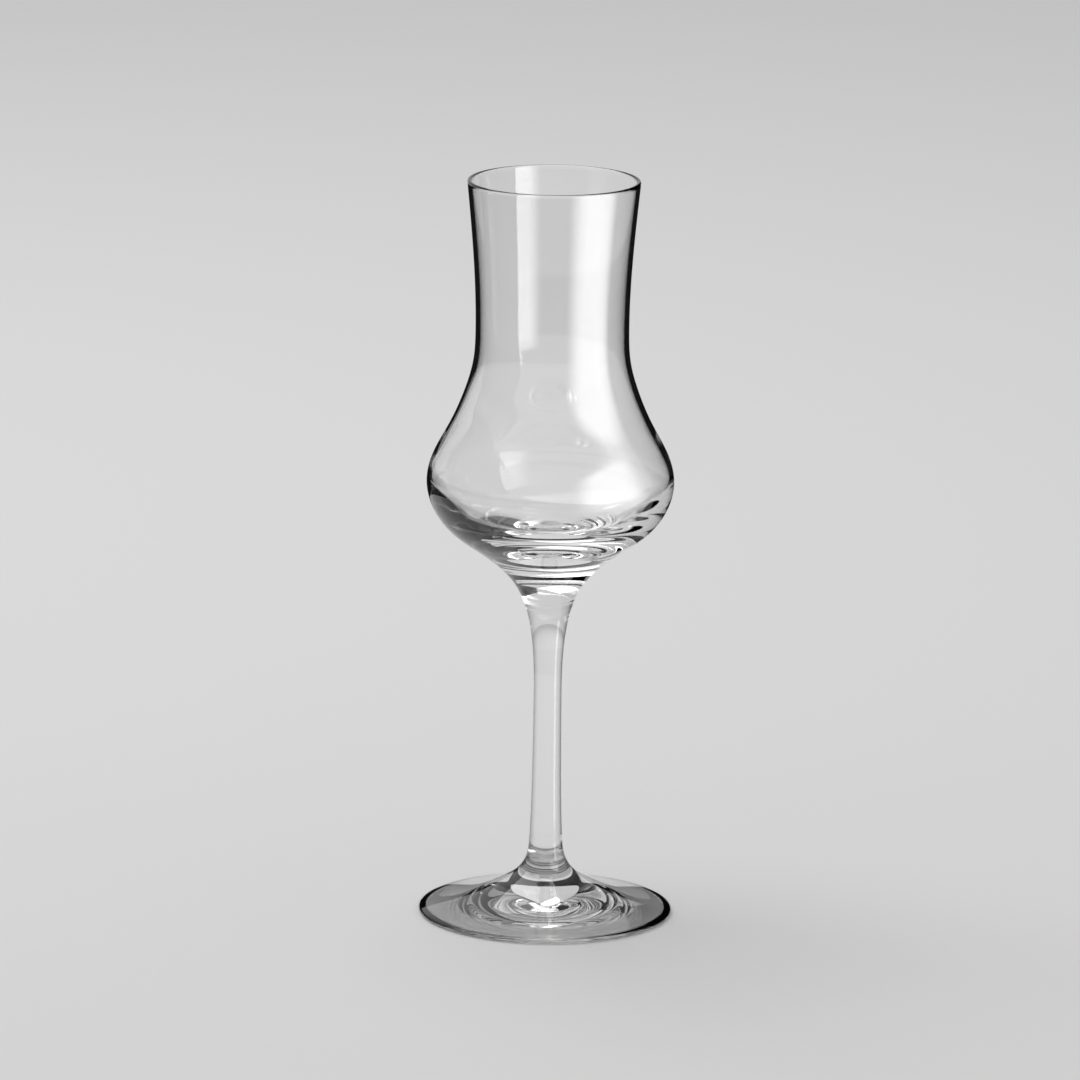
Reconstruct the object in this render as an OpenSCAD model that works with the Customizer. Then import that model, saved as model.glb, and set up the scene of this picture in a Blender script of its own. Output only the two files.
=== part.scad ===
// Whisky glass of clear crystal: a bulbous bowl under a tall flared chimney,
// on a slender drawn stem and a wide, low conical foot.
// It is three gathers of glass, fused hot to each other at two round weld faces.
// Millimetres, +Z up, origin at the centre of the base on the table.

/* [Bowl] */
// Height of the bowl from its weld to the lip
bowl_h = 120; // [105:1:140]
// Outer diameter at the lip
lip_d = 48.2; // [44:0.2:54]
// Outer diameter of the waist, the narrowest part of the chimney
waist_d = 42.8; // [36:0.2:46]
// Height of the waist above the bowl's weld
waist_h = 75; // [62:1:90]
// Outer diameter of the bulb at its widest
bulb_d = 69.2; // [58:0.2:76]
// Height of the widest part of the bulb above the bowl's weld
bulb_h = 34.5; // [28:0.5:38]
// Thickness of the glass at the lip
lip_wall = 1.1; // [0.8:0.1:1.8]
// Wall of the chimney at the waist
waist_wall = 1.3; // [0.9:0.1:2]
// Wall of the bulb at its widest
bulb_wall = 1.5; // [1:0.1:2.4]
// Solid glass under the drink, from the weld to the lowest point inside
base_h = 18.8; // [14:0.2:21]

/* [Stem] */
// Length of the stem between its two welds
stem_h = 77; // [55:1:95]
// Diameter of the stem at its thinnest
stem_d = 7.9; // [6:0.1:10]
// Height of the thinnest part above the lower weld
stem_thin_h = 49; // [35:1:60]
// Diameter of the stem where it starts to flare into the foot
ankle_d = 9.5; // [8.5:0.1:11.5]
// Height of that place above the lower weld
ankle_h = 7; // [5:0.5:12]
// Diameter of the weld between the stem and the bowl
upper_weld_d = 14.2; // [12:0.2:17]
// Diameter of the weld between the stem and the foot
lower_weld_d = 14.4; // [12.4:0.2:18]

/* [Foot] */
// Height of the foot from the table to its weld
foot_h = 13; // [10:0.5:17]
// Diameter of the foot
foot_d = 71.4; // [60:0.2:80]
// Thickness of the foot at its rounded edge
edge_h = 1.5; // [1:0.1:2.2]
// Width of the flat ring that the glass rests on
rest_w = 1.6; // [1:0.1:3]
// Depth of the hollow under the foot at its centre
hollow_h = 3; // [1.5:0.1:4]

/* [Hidden] */
$fn = 96;

// Straight steps in each stretch of a curve, and in each rounded edge
curve_steps = 12;
round_steps = 8;

// Slopes of the outlines, as radius over height
upper_weld_slope_share = 0.35;
knee_slope_share = 1.65;
shoulder_slope_share = -0.51;
lip_slope_share = 0.12;
ankle_slope_share = -0.05;
lower_weld_slope_share = -1.1;

// Slopes of the top of the foot, as height over radius
instep_slope_share = -0.4;
edge_slope_share = -0.22;

// Places of the shaping points between two neighbours, as shares of height and of radius
knee_shares = [0.464, 0.542];
shoulder_shares = [0.383, 0.447];
instep_shares = [0.45, 0.36];

// Heights of the two welds, the bulb, the waist and the lip above the table
lower_weld_z = foot_h;
upper_weld_z = lower_weld_z + stem_h;
bulb_z = upper_weld_z + bulb_h;
waist_z = upper_weld_z + waist_h;
lip_z = upper_weld_z + bowl_h;

// Radii
lip_r = lip_d / 2;
waist_r = waist_d / 2;
bulb_r = bulb_d / 2;
upper_weld_r = upper_weld_d / 2;
lower_weld_r = lower_weld_d / 2;
foot_r = foot_d / 2;
edge_r = edge_h / 2;
lip_round_r = lip_wall / 2;
rest_outer_r = foot_r - edge_r;
rest_inner_r = rest_outer_r - rest_w;

// A shaping point that lies between two sizes by a share
function between(from, to, share) = from + (to - from) * share;

// One point of the smooth curve from station a to station b, at t from 0 to 1.
// A station is [way along, way across, slope].
function smooth_point(a, b, t) =
    let (run = b[0] - a[0], t2 = t * t, t3 = t2 * t)
    [a[0] + run * t,
     (2 * t3 - 3 * t2 + 1) * a[1] + (3 * t2 - 2 * t3) * b[1]
     + run * ((t3 - 2 * t2 + t) * a[2] + (t3 - t2) * b[2])];

// The smooth curve through a row of stations, from its first to its last
function smooth_curve(stations) = [
    for (i = [0 : len(stations) - 2], k = [i == 0 ? 0 : 1 : curve_steps])
        smooth_point(stations[i], stations[i + 1], k / curve_steps)
];

// Points of an arc about a centre, from one angle to another
function arc_points(centre, r, from, to, steps) = [
    for (k = [0 : steps])
        let (a = between(from, to, k / steps))
        centre + r * [cos(a), sin(a)]
];

// The station on the inside of a wall, square through from an outer station
function inward(station, wall) =
    [station[0], station[1] - wall * sqrt(1 + station[2] * station[2]), station[2]];

function swapped(points) = [for (p = points) [p[1], p[0]]];
function reversed(list) = [for (i = [len(list) - 1 : -1 : 0]) list[i]];

// Outside of the bowl, as [height, radius, slope]
upper_weld_at = [upper_weld_z, upper_weld_r, upper_weld_slope_share];
knee_at = [
    between(upper_weld_z, bulb_z, knee_shares[0]),
    between(upper_weld_r, bulb_r, knee_shares[1]),
    knee_slope_share
];
bulb_at = [bulb_z, bulb_r, 0];
shoulder_at = [
    between(bulb_z, waist_z, shoulder_shares[0]),
    between(bulb_r, waist_r, shoulder_shares[1]),
    shoulder_slope_share
];
waist_at = [waist_z, waist_r, 0];
lip_at = [lip_z - lip_round_r, lip_r, lip_slope_share];
bowl_outside = [upper_weld_at, knee_at, bulb_at, shoulder_at, waist_at, lip_at];

// Inside of the bowl above the widest part of the bulb
bowl_inside = [
    inward(bulb_at, bulb_wall),
    inward(shoulder_at, between(bulb_wall, waist_wall, shoulder_shares[0])),
    inward(waist_at, waist_wall),
    [lip_at[0], lip_at[1] - lip_wall, lip_at[2]]
];

// Inside of the bulb below that, a quarter of an ellipse down to the lowest point
well_r = bulb_r - bulb_wall;
well_h = bulb_h - base_h;
function well_points() = [
    for (k = [0 : curve_steps - 1])
        let (a = between(0, 90, k / curve_steps))
        [well_r * sin(a), bulb_z - well_h * cos(a)]
];

// Stem, as [height, radius, slope]
lower_weld_at = [lower_weld_z, lower_weld_r, lower_weld_slope_share];
ankle_at = [lower_weld_z + ankle_h, ankle_d / 2, ankle_slope_share];
thin_at = [lower_weld_z + stem_thin_h, stem_d / 2, 0];
stem_outside = [lower_weld_at, ankle_at, thin_at, upper_weld_at];

// Top of the foot, as [radius, height, slope]
foot_top = [
    [lower_weld_r, lower_weld_z, 1 / lower_weld_slope_share],
    [
        between(lower_weld_r, rest_outer_r, instep_shares[0]),
        between(edge_h, foot_h, instep_shares[1]),
        instep_slope_share
    ],
    [rest_outer_r, edge_h, edge_slope_share]
];

// Dome of the hollow under the foot, from the axis out to the resting ring
function hollow_points() = [
    for (k = [0 : curve_steps])
        let (out = k / curve_steps)
        [rest_inner_r * out, hollow_h * (1 - out * out)]
];

module glass() {
    color([0.86, 0.9, 0.92, 0.45]) rotate_extrude() children();
}

module bowl() {
    lip_centre = [lip_at[1] - lip_round_r, lip_at[0]];
    glass() polygon(concat(
        [[0, upper_weld_z]],
        swapped(smooth_curve(bowl_outside)),
        arc_points(lip_centre, lip_round_r, 0, 180, round_steps),
        swapped(reversed(smooth_curve(bowl_inside))),
        reversed(well_points())
    ));
}

module stem() {
    glass() polygon(concat(
        [[0, lower_weld_z]],
        swapped(smooth_curve(stem_outside)),
        [[0, upper_weld_z]]
    ));
}

module foot() {
    edge_centre = [rest_outer_r, edge_r];
    glass() polygon(concat(
        hollow_points(),
        arc_points(edge_centre, edge_r, -90, 90, round_steps),
        reversed(smooth_curve(foot_top)),
        [[0, lower_weld_z]]
    ));
}

bowl();
stem();
foot();
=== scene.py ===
"""A stemmed whisky glass of clear crystal, dressed for its portrait on a pale table.

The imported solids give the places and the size. The three gathers of glass are turned here as
fine meshes, because light that passes through glass shows every facet of a coarse one.
Lengths are in millimetres until they reach Blender, which works in metres.
"""

import math

import bpy
import numpy as np
from mathutils import Matrix, Vector


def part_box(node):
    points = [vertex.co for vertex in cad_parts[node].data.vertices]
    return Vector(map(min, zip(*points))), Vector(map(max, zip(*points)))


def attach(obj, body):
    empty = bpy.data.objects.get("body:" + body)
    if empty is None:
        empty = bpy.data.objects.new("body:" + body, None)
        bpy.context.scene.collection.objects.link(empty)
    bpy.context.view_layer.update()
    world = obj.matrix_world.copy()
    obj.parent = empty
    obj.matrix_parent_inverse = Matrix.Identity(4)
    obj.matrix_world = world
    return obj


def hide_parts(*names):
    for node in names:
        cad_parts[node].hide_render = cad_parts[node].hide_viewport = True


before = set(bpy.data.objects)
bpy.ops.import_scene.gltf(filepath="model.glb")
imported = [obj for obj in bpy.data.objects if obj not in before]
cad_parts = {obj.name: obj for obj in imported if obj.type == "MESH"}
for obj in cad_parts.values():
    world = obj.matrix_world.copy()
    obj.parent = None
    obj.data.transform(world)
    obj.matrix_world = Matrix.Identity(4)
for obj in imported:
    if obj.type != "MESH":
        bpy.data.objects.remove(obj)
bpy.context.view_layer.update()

MM = 0.001


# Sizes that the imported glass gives
def box_mm(node):
    """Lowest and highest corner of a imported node, in millimetres."""
    lo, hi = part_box(node)
    return np.array(lo) / MM, np.array(hi) / MM


bowl_lo, bowl_hi = box_mm("bowl")
foot_hi = box_mm("foot")[1]
LIP_Z = bowl_hi[2]
BULB_R = bowl_hi[0]
UPPER_WELD_Z = bowl_lo[2]
LOWER_WELD_Z = foot_hi[2]
FOOT_R = foot_hi[0]


def on_circle(centre, radius, degrees):
    """A point of a circle in the plane of radius and height."""
    turn = math.radians(degrees)
    return centre[0] + radius * math.cos(turn), centre[1] + radius * math.sin(turn)


# The rounded lip leans out with the flare of the chimney, and its rounding runs into both walls
LIP_R = 24.1
LIP_WALL = 1.1
LIP_FLARE = 5
LIP_STEPS = 14
LIP_MIDDLE = (LIP_R - LIP_WALL / 2, LIP_Z - LIP_WALL / 2)
LIP_OUTSIDE = on_circle(LIP_MIDDLE, LIP_WALL / 2, -LIP_FLARE)
LIP_INSIDE = on_circle(LIP_MIDDLE, LIP_WALL / 2, 180 - LIP_FLARE)

# The rounded rim of the foot runs into the slope of its top
RIM_THICK = 1.5
RIM_SLOPE = 12
RIM_STEPS = 16
RIM_MIDDLE = (FOOT_R - RIM_THICK / 2, RIM_THICK / 2)
RIM_TOP = on_circle(RIM_MIDDLE, RIM_THICK / 2, 90 - RIM_SLOPE)

# Where the three gathers of glass are fused, as radius and height
LOWER_WELD = (7.25, LOWER_WELD_Z)
UPPER_WELD = (7.1, UPPER_WELD_Z)

# The outside of the glass, as radius and height, from the rim of the foot up to the lip
FOOT_SIDE = [RIM_TOP, (27.5, 3.3), (19.8, 5.7), (13.4, 8.7), (10.0, 10.6)]
STEM_SIDE = [(5.35, 16.5), (4.7, 21), (4.2, 35), (3.95, 60), (4.35, 76), (5.35, 83.5)]
BOWL_SIDE = [
    (10.1, 95.6),
    (15.0, 100.8),
    (22.0, 106),
    (27.4, 110),
    (31.4, 114.6),
    (BULB_R, 124.5),
    (33.3, 131),
    (28.7, 140),
    (24.35, 150),
    (21.9, 159),
    (21.4, 167),
    (22.3, 190),
    LIP_OUTSIDE,
]

# The inside of the bowl, from the lip down to the lowest point on the axis
BOWL_INSIDE = [
    LIP_INSIDE,
    (21.1, 190),
    (20.1, 167),
    (20.55, 159),
    (22.9, 150),
    (27.1, 140),
    (31.7, 131),
    (33.1, 124.5),
    (32.2, 121.6),
    (29.4, 117),
    (24.3, 113.2),
    (17.2, 110.5),
    (8.6, 109.2),
    (0, 108.8),
]

# The underside of the foot: a flat ring that rests on the table, round a shallow hollow
REST_WIDE = 1.6
REST_STEPS = 3
HOLLOW_DEEP = 3.0
REST_INNER_R = RIM_MIDDLE[0] - REST_WIDE

# How finely the glass is turned: faces round it, and millimetres up its side for each face
ROUND_FACES = 240
FACE_LENGTH = 0.8


def smooth_line(points):
    """The smoothest curve through a row of points (a natural cubic spline), as a finer row."""
    p = np.array(points, float)
    run = np.linalg.norm(np.diff(p, axis=0), axis=1)
    last = len(p) - 1
    weights, bends = np.eye(len(p)), np.zeros(p.shape)
    for i in range(1, last):
        weights[i, i - 1 : i + 2] = run[i - 1], 2 * (run[i - 1] + run[i]), run[i]
        bends[i] = 6 * ((p[i + 1] - p[i]) / run[i] - (p[i] - p[i - 1]) / run[i - 1])
    bends = np.linalg.solve(weights, bends)
    line = []
    for i in range(last):
        count = math.ceil(run[i] / FACE_LENGTH)
        b = np.arange(count)[:, None] / count
        a = 1 - b
        bend = (a**3 - a) * bends[i] + (b**3 - b) * bends[i + 1]
        line.append(a * p[i] + b * p[i + 1] + run[i] ** 2 / 6 * bend)
    return np.vstack([*line, p[-1:]])


def rounding(middle, radius, start, end, count):
    """A row of points round an arc, from one angle to another in degrees."""
    turns = np.linspace(start, end, count + 1)
    return np.array([on_circle(middle, radius, turn) for turn in turns])


def line_normals(line):
    """Unit normals of a row of points, to the right of the way it runs."""
    steps = np.diff(line, axis=0)
    length = np.linalg.norm(steps, axis=1)[:, None]
    ways = steps / length
    between = (ways[:-1] * length[1:] + ways[1:] * length[:-1]) / (length[:-1] + length[1:])
    along = np.vstack([ways[:1], between, ways[-1:]])
    along /= np.linalg.norm(along, axis=1)[:, None]
    normals = np.stack([along[:, 1], -along[:, 0]], 1)
    on_axis = line[:, 0] == 0
    normals[on_axis] = np.stack([0 * normals[on_axis, 1], np.sign(normals[on_axis, 1])], 1)
    return normals


# One smooth outside for the whole glass, so that its curve and its gloss run on over both welds
outside = smooth_line([*FOOT_SIDE, LOWER_WELD, *STEM_SIDE, UPPER_WELD, *BOWL_SIDE])
outside_normals = line_normals(outside)
low_cut, high_cut = [
    int(np.argmin(np.linalg.norm(outside - weld, axis=1))) for weld in (LOWER_WELD, UPPER_WELD)
]

# The side of a piece fills this much of its map, and its fused faces lie in the strip above
MAP_SIDE = 0.9
MAP_DISC = 0.045


def turned(name, line, normals, fused_ends):
    """A mesh turned from a row of (radius, height) points, closed by a flat disc at each fused end.

    Each corner of a face carries its own normal and its own place on the map.
    """
    turns = np.arange(ROUND_FACES + 1) * 2 * math.pi / ROUND_FACES
    cos, sin = np.cos(turns), np.sin(turns)
    rise = np.append(0, np.cumsum(np.linalg.norm(np.diff(line, axis=0), axis=1)))
    rise *= MAP_SIDE / rise[-1]
    places, rings = [], []
    for r, z in line:
        start = len(places)
        places.extend([(r * cos[i], r * sin[i], z) for i in range(ROUND_FACES if r else 1)])
        count = len(places) - start
        rings.append([start + i % count for i in range(ROUND_FACES + 1)])

    faces = []
    for k in range(len(line) - 1):
        for i in range(ROUND_FACES):
            face = {}
            for a, b in ((k, i), (k, i + 1), (k + 1, i + 1), (k + 1, i)):
                nr, nz = normals[a]
                face[rings[a][b]] = (nr * cos[b], nr * sin[b], nz), (b / ROUND_FACES, rise[a])
            faces.append(face)
    side_faces = len(faces)
    for end in fused_ends:
        # A lower face lies in the left half of the strip, and an upper one in the right half
        facing = -1 if end == 0 else 1
        middle = (0.5 + facing / 4, (1 + MAP_SIDE) / 2)
        centre = len(places)
        places.append((0, 0, line[end][1]))
        for i in range(ROUND_FACES):
            face = {centre: ((0, 0, facing), middle)}
            for b in (i, i + 1)[::facing]:
                spot = (middle[0] + MAP_DISC * cos[b], middle[1] + MAP_DISC * sin[b])
                face[rings[end][b]] = (0, 0, facing), spot
            faces.append(face)

    mesh = bpy.data.meshes.new(name)
    mesh.from_pydata((np.array(places) * MM).tolist(), [], [list(face) for face in faces])
    mesh.polygons.foreach_set("use_smooth", [True] * len(faces))
    mesh.polygons.foreach_set("material_index", [int(n >= side_faces) for n in range(len(faces))])
    corners = [corner for face in faces for corner in face.values()]
    spots = np.array([spot for way, spot in corners], "f")
    mesh.uv_layers.new(name="OFBake").data.foreach_set("uv", spots.ravel())
    mesh.normals_split_custom_set([way for way, spot in corners])
    mesh.update()
    piece = bpy.data.objects.new(name, mesh)
    bpy.context.scene.collection.objects.link(piece)
    return piece


def make_bowl():
    lip = rounding(LIP_MIDDLE, LIP_WALL / 2, -LIP_FLARE, 180 - LIP_FLARE, LIP_STEPS)
    past_axis = [(-r, z) for r, z in BOWL_INSIDE[-2::-1]]
    inside = smooth_line([*BOWL_INSIDE, *past_axis])
    inside = inside[: len(inside) // 2 + 1]
    inside[-1][0] = 0
    line = np.vstack([outside[high_cut:-1], lip[:-1], inside])
    normals = line_normals(line)
    normals[0] = outside_normals[high_cut]
    return turned("blown_bowl", line, normals, [0])


def make_stem():
    part = slice(low_cut, high_cut + 1)
    return turned("drawn_stem", outside[part], outside_normals[part], [0, -1])


def make_foot():
    out = np.linspace(0, 1, math.ceil(REST_INNER_R / FACE_LENGTH) + 1)
    hollow = np.stack([REST_INNER_R * out, HOLLOW_DEEP * (1 - out**2)], 1)
    rest_out = np.linspace(REST_INNER_R, RIM_MIDDLE[0], REST_STEPS + 1)
    rest = np.stack([rest_out, np.zeros(len(rest_out))], 1)
    rim = rounding(RIM_MIDDLE, RIM_THICK / 2, -90, 90 - RIM_SLOPE, RIM_STEPS)
    line = np.vstack([hollow, rest[1:], rim[1:-1], outside[: low_cut + 1]])
    normals = line_normals(line)
    normals[-1] = outside_normals[low_cut]
    return turned("spun_foot", line, normals, [-1])


# Materials
def linear(hex_colour):
    """An sRGB hex colour as linear values with an alpha of 1."""
    parts = [int(hex_colour[i : i + 2], 16) / 255 for i in (1, 3, 5)]
    return (*[p / 12.92 if p <= 0.04045 else ((p + 0.055) / 1.055) ** 2.4 for p in parts], 1)


def add_node(tree, kind, links=None, values=None, **settings):
    """Adds a node with its settings, constant values and links to its sockets, and returns it."""
    made = tree.nodes.new(kind)
    for key, setting in settings.items():
        setattr(made, key, setting)
    for socket, value in (values or {}).items():
        made.inputs[socket].default_value = value
    for socket, source in (links or {}).items():
        tree.links.new(source, made.inputs[socket])
    return made


def new_material(name):
    """An empty node material, with its tree and its output."""
    material = bpy.data.materials.new(name)
    material.use_nodes = True
    tree = material.node_tree
    tree.nodes.clear()
    return material, tree, add_node(tree, "ShaderNodeOutputMaterial")


# Clear crystal without lead, as colourless as optical glass, with a fire polish that is nearly
# mirror smooth and a touch less so in the dips
CRYSTAL_IOR = 1.54
CRYSTAL_TONE = "#FEFEFE"
POLISH_RISES = 0
POLISH_DIPS = 0.012
SWAY_DETAIL = 1.5

# Painted shade: the rod's colour is darker towards its sides, where it is seen at a slant
ROD_SIDE_PAINTED_SHADE = "#717272"
ROD_SIDE_FROM, ROD_SIDE_TO = 0.2, 0.8


def crystal(name, wave_mm, depth_mm, is_rod=False):
    """Clear crystal whose surface sways by a small depth, in waves of a size along x, y and z."""
    material, tree, out = new_material(name)
    place = add_node(tree, "ShaderNodeTexCoord")
    waves_per_m = [1 / (size * MM) for size in wave_mm]
    waves = add_node(
        tree, "ShaderNodeMapping", {"Vector": place.outputs["Object"]}, {"Scale": waves_per_m}
    )
    sway = add_node(
        tree,
        "ShaderNodeTexNoise",
        {"Vector": waves.outputs["Vector"]},
        {"Scale": 1, "Detail": SWAY_DETAIL},
    )
    bump = add_node(
        tree, "ShaderNodeBump", {"Height": sway.outputs["Fac"]}, {"Distance": depth_mm * MM}
    )
    polish = add_node(
        tree,
        "ShaderNodeMapRange",
        {"Value": sway.outputs["Fac"]},
        {"To Min": POLISH_DIPS, "To Max": POLISH_RISES},
    )
    glass = add_node(
        tree,
        "ShaderNodeBsdfPrincipled",
        {"Normal": bump.outputs["Normal"], "Roughness": polish.outputs["Result"]},
        {"Base Color": linear(CRYSTAL_TONE), "IOR": CRYSTAL_IOR, "Transmission Weight": 1},
    )
    # On the rod, painted shade darkens the colour of the glass towards its sides, where it is seen
    # at a slant
    if is_rod:
        slant = add_node(tree, "ShaderNodeLayerWeight")
        side = add_node(
            tree,
            "ShaderNodeMapRange",
            {"Value": slant.outputs["Facing"]},
            {"From Min": ROD_SIDE_FROM, "From Max": ROD_SIDE_TO},
            interpolation_type="SMOOTHSTEP",
        )
        painted_side_shade = add_node(
            tree,
            "ShaderNodeMixRGB",
            {"Fac": side.outputs["Result"]},
            {"Color1": linear(CRYSTAL_TONE), "Color2": linear(ROD_SIDE_PAINTED_SHADE)},
        )
        tree.links.new(painted_side_shade.outputs["Color"], glass.inputs["Base Color"])
    tree.links.new(glass.outputs["BSDF"], out.inputs["Surface"])
    return material


def fused_face():
    """The face where two hot gathers met. Fused glass has no boundary, so light goes through."""
    material, tree, out = new_material("fused_face")
    through = add_node(tree, "ShaderNodeBsdfTransparent")
    tree.links.new(through.outputs["BSDF"], out.inputs["Surface"])
    return material


def dress(piece, node, *materials):
    """Gives a piece its materials, lets it ride, and puts it in its node's place."""
    for material in materials:
        piece.data.materials.append(material)
    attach(piece, "root")
    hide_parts(node)


fused = fused_face()

# Blown glass sways a little from the breath and the turning pipe, which bends what it mirrors
dress(make_bowl(), "bowl", crystal("blown_crystal", wave_mm=(28, 28, 28), depth_mm=0.04), fused)

# Drawn glass has long faint lines, pulled out of the unevenness of the gather
dress(
    make_stem(),
    "stem",
    crystal("drawn_crystal", wave_mm=(1.6, 1.6, 60), depth_mm=0.006, is_rod=True),
    fused,
)

# Spun glass has a slow swell from the paddle that flattened it
dress(make_foot(), "foot", crystal("spun_crystal", wave_mm=(22, 22, 22), depth_mm=0.04), fused)

# The camera stands to the front, far back and above the rim of the glass
EYE_LEFT, EYE_BACK, EYE_UP = 1.6, 2128, 600
AIM_LEFT, AIM_UP = 2.7, 107.5
LENS = 260
SENSOR = 36
LEAN_DEGREES = 0.74
NEAREST_M, FARTHEST_M = 0.05, 50


def make_camera():
    eye = Vector((-EYE_LEFT, -EYE_BACK, EYE_UP)) * MM
    aim = Vector((-AIM_LEFT, 0, AIM_UP)) * MM
    data = bpy.data.cameras.new("portrait")
    data.lens = LENS
    data.sensor_width = SENSOR
    data.clip_start = NEAREST_M
    data.clip_end = FARTHEST_M
    camera = bpy.data.objects.new("portrait", data)
    camera.matrix_world = (
        Matrix.Translation(eye)
        @ (aim - eye).to_track_quat("-Z", "Y").to_matrix().to_4x4()
        @ Matrix.Rotation(math.radians(LEAN_DEGREES), 4, "Z")
    )
    bpy.context.scene.collection.objects.link(camera)
    bpy.context.scene.camera = camera


# The table and the sky over it
TABLE_SIDE = 12000
TABLE_COLOUR = "#DCDCDC"
WHITE = "#FFFFFF"
SKY_GLOW = 0.6

# The overhead light, and the cloths and panels that show only as reflections in the glass
TOP_LIGHT_AT = (-500, 500, 1600)
TOP_LIGHT_SIDE = 1400
TOP_LIGHT_GLOW = 2.1
PANEL_GLOW = 4.2
PANEL_STEPS = 12
CLOTH_COLOUR = "#1C1C1C"
RING_R, RING_HIGH, RING_SIDES = 420, 130, 48
OFF_TABLE = 0.5


def stage_piece(name, places, faces, material):
    """A piece of the stage, from corners in millimetres."""
    mesh = bpy.data.meshes.new(name)
    mesh.from_pydata([tuple(Vector(p) * MM) for p in places], [], faces)
    mesh.materials.append(material)
    piece = bpy.data.objects.new(name, mesh)
    bpy.context.scene.collection.objects.link(piece)
    return piece


def make_table():
    half = TABLE_SIDE / 2
    material, tree, out = new_material("matt_pale_laminate")
    paint = add_node(tree, "ShaderNodeBsdfDiffuse", None, {"Color": linear(TABLE_COLOUR)})
    tree.links.new(paint.outputs["BSDF"], out.inputs["Surface"])
    corners = [(-half, -half, 0), (half, -half, 0), (half, half, 0), (-half, half, 0)]
    stage_piece("table_top", corners, [(0, 1, 2, 3)], material)


def make_sky():
    world = bpy.data.worlds.new("pale_room")
    world.use_nodes = True
    tree = world.node_tree
    tree.nodes.clear()
    out = add_node(tree, "ShaderNodeOutputWorld")
    glow = add_node(
        tree, "ShaderNodeBackground", None, {"Color": linear(WHITE), "Strength": SKY_GLOW}
    )
    tree.links.new(glow.outputs["Background"], out.inputs["Surface"])
    bpy.context.scene.world = world


def make_top_light():
    """A large square soft light overhead that faces the foot of the glass."""
    data = bpy.data.lights.new("top_light", "AREA")
    data.size = TOP_LIGHT_SIDE * MM
    # The power that gives a flat square of this size its glow
    data.energy = TOP_LIGHT_GLOW * math.pi * data.size**2
    light = bpy.data.objects.new("top_light", data)
    at = Vector(TOP_LIGHT_AT) * MM
    light.matrix_world = Matrix.Translation(at) @ at.to_track_quat("Z", "Y").to_matrix().to_4x4()
    light.visible_camera = False
    bpy.context.scene.collection.objects.link(light)


def only_in_reflections(piece, tree, out, shader, density=None):
    """Shows a piece only to light that has bounced off the glass, so that no view looks at it.

    A density, from 0 to 1, can thin the piece out.
    """
    path = add_node(tree, "ShaderNodeLightPath")
    shown = add_node(
        tree, "ShaderNodeMath", {0: path.outputs["Glossy Depth"]}, {1: 1}, operation="MINIMUM"
    )
    if density:
        shown = add_node(
            tree,
            "ShaderNodeMath",
            {0: shown.outputs[0], 1: density.outputs[0]},
            operation="MULTIPLY",
        )
    clear = add_node(tree, "ShaderNodeBsdfTransparent")
    mix = add_node(
        tree,
        "ShaderNodeMixShader",
        {0: shown.outputs[0], 1: clear.outputs[0], 2: shader.outputs[0]},
    )
    tree.links.new(mix.outputs[0], out.inputs["Surface"])
    piece.visible_camera = False
    piece.visible_diffuse = False
    piece.visible_shadow = False


def glowing_panel(name, azimuth, distances, low, high, fades):
    """A soft glowing panel that stands beside the glass and faces it, brightest in its middle.

    Azimuth is in degrees to the right of the camera, as seen from the glass. Low and high are the
    panel's lower and upper edge, each as (left end, right end, height), and distances tells how far
    from the glass each of them stands. The fades are the shares of the panel over which the glow
    dies out at its left, right, bottom and top.
    """
    turn = math.radians(azimuth)
    away = Vector((math.sin(turn), -math.cos(turn), 0))
    across = Vector((math.cos(turn), math.sin(turn), 0))
    steps = np.linspace(0, 1, PANEL_STEPS + 1)
    places, spots = [], []
    for v in steps:
        left, right, height = np.array(low) * (1 - v) + np.array(high) * v
        distance = distances[0] * (1 - v) + distances[1] * v
        for u in steps:
            aside = left * (1 - u) + right * u
            places.append(away * distance + across * aside + Vector((0, 0, height)))
            spots.append((u, v))
    row = PANEL_STEPS + 1
    starts = [j * row + i for j in range(PANEL_STEPS) for i in range(PANEL_STEPS)]

    material, tree, out = new_material(name)
    piece = stage_piece(name, places, [(k, k + 1, k + 1 + row, k + row) for k in starts], material)
    layer = piece.data.uv_layers.new(name="cloth")
    for loop in piece.data.loops:
        layer.data[loop.index].uv = spots[loop.vertex_index]
    where = add_node(tree, "ShaderNodeUVMap", uv_map="cloth")
    split = add_node(tree, "ShaderNodeSeparateXYZ", {0: where.outputs["UV"]})
    density = None
    for axis, edge, fade in zip("XXYY", (0, 1, 0, 1), fades):
        thinning = add_node(
            tree,
            "ShaderNodeMapRange",
            {"Value": split.outputs[axis]},
            {"From Min": edge, "From Max": abs(edge - fade)},
            interpolation_type="SMOOTHSTEP",
        )
        if density:
            thinning = add_node(
                tree,
                "ShaderNodeMath",
                {0: density.outputs[0], 1: thinning.outputs[0]},
                operation="MULTIPLY",
            )
        density = thinning
    light = add_node(
        tree, "ShaderNodeEmission", None, {"Color": linear(WHITE), "Strength": PANEL_GLOW}
    )
    only_in_reflections(piece, tree, out, light, density)


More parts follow.
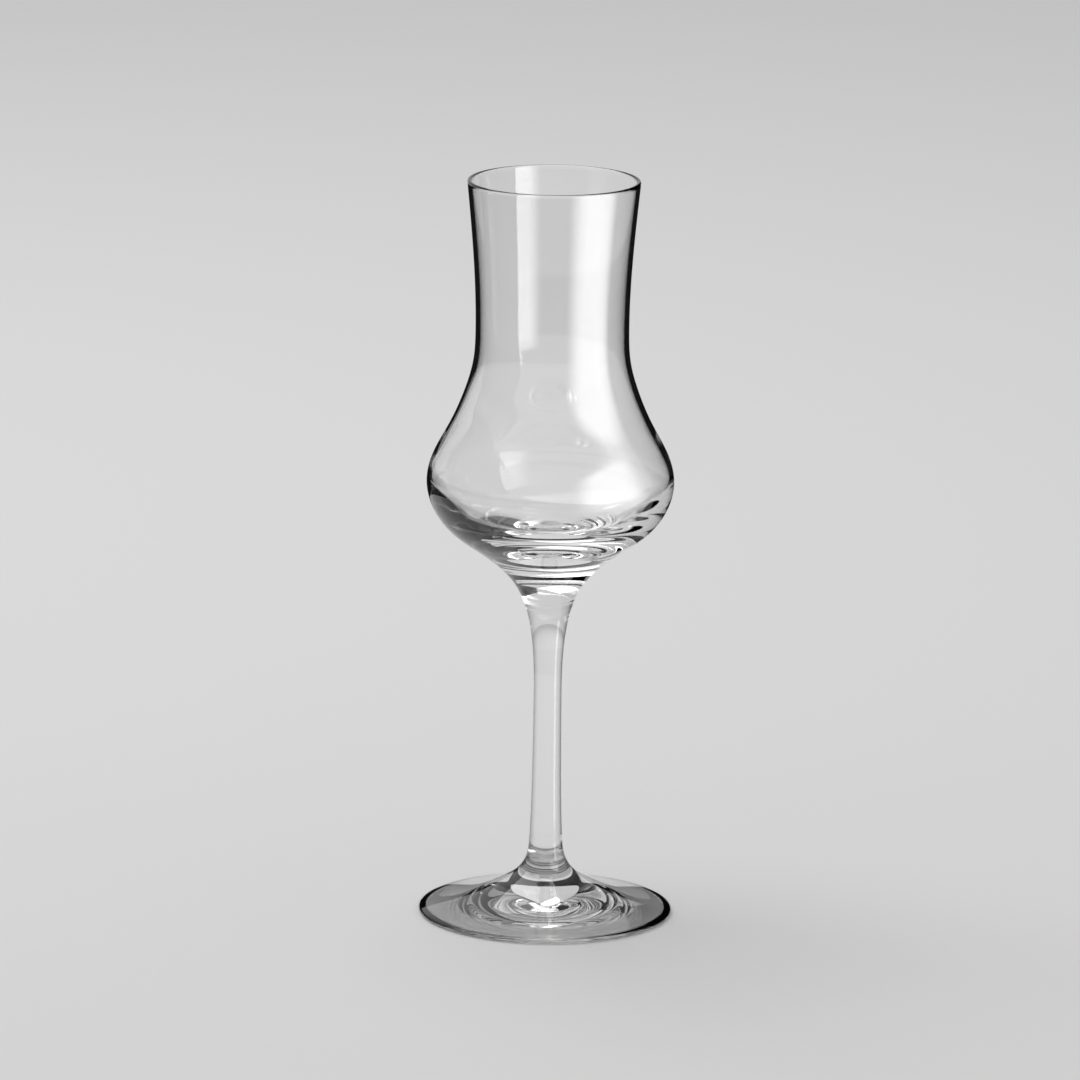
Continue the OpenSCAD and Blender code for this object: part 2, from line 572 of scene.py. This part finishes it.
def dark_cloth(name, places, faces):
    """Black cloth that the glass mirrors, which draws a dark line along its edges."""
    material, tree, out = new_material(name)
    piece = stage_piece(name, places, faces, material)
    cloth = add_node(tree, "ShaderNodeBsdfDiffuse", None, {"Color": linear(CLOTH_COLOUR)})
    only_in_reflections(piece, tree, out, cloth)


def make_cloth_ring():
    """Black cloth round the glass, at a distance, so that its edges are dark from every side."""
    turns = [i * 2 * math.pi / RING_SIDES for i in range(RING_SIDES)]
    low = [(RING_R * math.cos(t), RING_R * math.sin(t), OFF_TABLE) for t in turns]
    high = [(x, y, RING_HIGH) for x, y, z in low]
    ends = [(i, (i + 1) % RING_SIDES) for i in range(RING_SIDES)]
    faces = [(i, j, RING_SIDES + j, RING_SIDES + i) for i, j in ends]
    dark_cloth("cloth_ring", low + high, faces)


make_camera()
make_table()
make_sky()
make_top_light()
make_cloth_ring()
glowing_panel(
    "tall_panel",
    azimuth=56,
    distances=(107, 200),
    low=(-84, 96, 55),
    high=(-156, 180, 270),
    fades=(0.34, 0.41, 0.22, 0.2),
)
glowing_panel(
    "low_panel",
    azimuth=64,
    distances=(120, 120),
    low=(-20, 17, 1),
    high=(-20, 17, 70),
    fades=(0.2, 0.2, 0.05, 0.43),
)

# A narrow cloth close by on the right hides the panels from the left part of the far wall, which
# gives the band of light there its clear left edge
FLAG_X, FLAG_FRONT, FLAG_BACK, FLAG_HIGH = 40, -14, 70, 240
flag_low = [(FLAG_X, FLAG_FRONT, OFF_TABLE), (FLAG_X, FLAG_BACK, OFF_TABLE)]
flag_high = [(FLAG_X, FLAG_BACK, FLAG_HIGH), (FLAG_X, FLAG_FRONT, FLAG_HIGH)]
dark_cloth("side_flag", flag_low + flag_high, [(0, 1, 2, 3)])

# Light needs many bounces to get through a stack of glass surfaces
MOST_BOUNCES = 32
MOST_MIRRORINGS = 16

scene = bpy.context.scene
scene.view_settings.view_transform = "Standard"
scene.cycles.use_denoising = True
scene.cycles.max_bounces = MOST_BOUNCES
scene.cycles.transmission_bounces = MOST_BOUNCES
scene.cycles.transparent_max_bounces = MOST_BOUNCES
scene.cycles.glossy_bounces = MOST_MIRRORINGS
